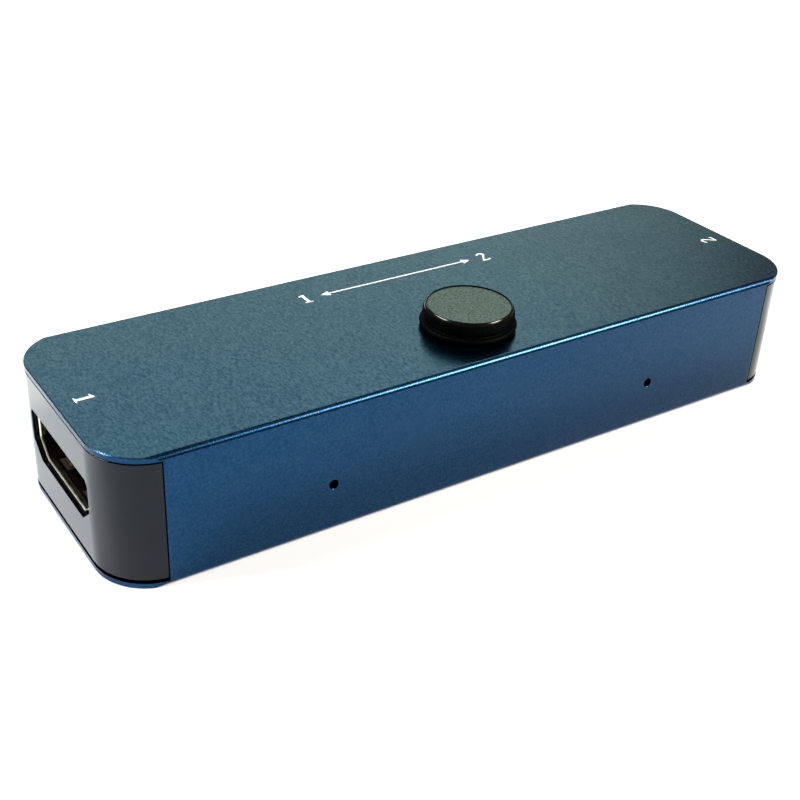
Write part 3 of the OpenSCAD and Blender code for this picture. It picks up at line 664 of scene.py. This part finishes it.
def buildMark(name, outlines, turn, middle):  # outlines in units of the height, turned by degrees
    c, s = np.cos(np.radians(turn)), np.sin(np.radians(turn))
    film = [(caseTop + mark["lift"], 0), (caseTop + mark["lift"] + mark["film"], 0)]
    solids = []
    for outline in outlines:
        flat = outline * mark["height"] @ np.array([(c, s), (-s, c)]) + middle
        solids.append(carried(name + "_film", flat, "Z", film, whiteInk))
    return settle(together(name, solids), "case", "anodised_aluminium")


rearX, rearY = mark["rear"]
reach = mark["rearSpan"] / 2 - mark["inset"]
buildMark("rear_number_one", numberOne(), 0, (rearX - reach, rearY))
buildMark("rear_number_two", numberTwo(), 0, (rearX + reach, rearY))
buildMark("rear_arrow", twoWayArrow(mark["arrowSpan"] / mark["height"]), 0, (rearX, rearY))
buildMark("left_number", numberOne(), -90, mark["left"])
buildMark("right_number", numberTwo(), 90, mark["right"])
print("marks printed")


# floor, light and camera

# lit and dim set a painted pool of light on the floor, and glow its painted glow
stage = dict(reach=3000.0, pale="#eff2f9", paler="#f8f9fc", mottle=60.0, glow=0.13, lit=(240.0, 620.0),
             dim="#3c3c3d", sky=0.12)


def buildFloor():
    finish, tree, place = newFinish("pale_paper_painted_light_pool")
    mottle = addNode(tree, "TexNoise", {"Vector": place, "Scale": perMm(stage["mottle"]), "Detail": 2.0})
    tone = addNode(tree, "Mix", {0: mottle.outputs[0], 6: linear(stage["pale"]),
                                 7: linear(stage["paler"])}, data_type="RGBA")
    # from lit[0] to lit[1] mm out from the middle the paper's colour falls to dim grey: a painted pool of
    # light; the same colour is also given off at glow, painted light from a floor that is no lamp
    away = addNode(tree, "VectorMath", {"Vector": place}, operation="LENGTH")
    fall = addNode(tree, "MapRange", {"Value": away.outputs["Value"], "From Min": stage["lit"][0] * mm,
                                      "From Max": stage["lit"][1] * mm}, interpolation_type="SMOOTHSTEP")
    pool = addNode(tree, "Mix", {0: fall.outputs[0], 6: tone.outputs[2],
                                 7: linear(stage["dim"])}, data_type="RGBA")
    closeFinish(tree, {"Base Color": pool.outputs[2], "Roughness": 0.9, "Specular IOR Level": 0.0,
                       "Emission Color": pool.outputs[2], "Emission Strength": stage["glow"]})
    outline = circle(2 * stage["reach"], 64)
    points = np.column_stack([outline, np.zeros(len(outline))])
    newPiece("floor", points, [list(range(len(points)))], finish)


# fade: between which shares of its width a panel dims, counted from the right as the object sees it, and to
# which share of its light; rise: the share of light at its bottom and at its top
lights = {
    "back_panel": dict(place=(361, 846, 692), size=(1180, 900), power=7.3, colour="#d6ffe9",
                       fade=(0.22, 0.0, 0.4), rise=(0.35, 1.35)),
    "left_panel": dict(place=(-248, 144, 280), size=(200, 90), power=1.9, colour="#ffffff"),
    "right_softbox": dict(place=(563, -540, 654), size=(430, 200), power=18.0, colour="#fff8ea",
                          fade=(0.5, 0.0, 0.25)),
}


def buildLights():
    for name, look in lights.items():
        panel = bpy.data.lights.new(name, "AREA")
        panel.shape = "RECTANGLE"
        panel.size, panel.size_y = np.array(look["size"]) * mm
        panel.energy = look["power"]
        panel.color = linear(look["colour"])[:3]
        if "fade" in look:
            panel.use_nodes = True
            tree = panel.node_tree
            spot = addNode(tree, "SeparateXYZ", {0: addNode(tree, "NewGeometry").outputs["Parametric"]})
            start, end, least = look["fade"]
            glow = addNode(tree, "MapRange", {"Value": spot.outputs["X"], "From Min": start, "From Max": end,
                                              "To Min": 1.0, "To Max": least})
            if "rise" in look:
                low, high = look["rise"]
                lift = addNode(tree, "MapRange", {"Value": spot.outputs["Y"], "To Min": low, "To Max": high})
                glow = addNode(tree, "Math", {0: glow.outputs[0], 1: lift.outputs[0]}, operation="MULTIPLY")
            tree.links.new(glow.outputs[0], tree.nodes["Emission"].inputs["Strength"])
        holder = bpy.data.objects.new(name, panel)
        bpy.context.scene.collection.objects.link(holder)
        holder.location = np.array(look["place"]) * mm
        holder.rotation_euler = (-Vector(holder.location)).to_track_quat("-Z", "Y").to_euler()
    world = bpy.data.worlds.new("studio")
    world.use_nodes = True
    world.node_tree.nodes["Background"].inputs["Color"].default_value = linear("#ffffff")
    world.node_tree.nodes["Background"].inputs["Strength"].default_value = stage["sky"]
    bpy.context.scene.world = world


camera = dict(place=(-75.265, -102.289, 77.477), yaw=34.684, pitch=30.692, roll=3.003, lens=55.77)


def buildCamera():
    yaw, pitch, roll = np.radians([camera["yaw"], camera["pitch"], camera["roll"]])
    ahead = np.array([np.sin(yaw) * np.cos(pitch), np.cos(yaw) * np.cos(pitch), -np.sin(pitch)])
    level = np.array([np.cos(yaw), -np.sin(yaw), 0])
    upright = np.cross(level, ahead)
    right = np.cos(roll) * level + np.sin(roll) * upright
    up = np.cos(roll) * upright - np.sin(roll) * level
    lens = bpy.data.cameras.new("photo_camera")
    lens.lens, lens.sensor_width = camera["lens"], 36.0
    lens.clip_start, lens.clip_end = 0.005, 20.0
    holder = bpy.data.objects.new("photo_camera", lens)
    bpy.context.scene.collection.objects.link(holder)
    turn = np.eye(4)
    turn[:3, :3] = np.column_stack([right, up, -ahead])
    turn[:3, 3] = np.array(camera["place"]) * mm
    holder.matrix_world = Matrix(turn)
    bpy.context.scene.camera = holder


buildFloor()
buildLights()
buildCamera()
view = bpy.context.scene.view_settings
view.view_transform, view.look, view.exposure = "Standard", "None", 0.0
print("stage set")
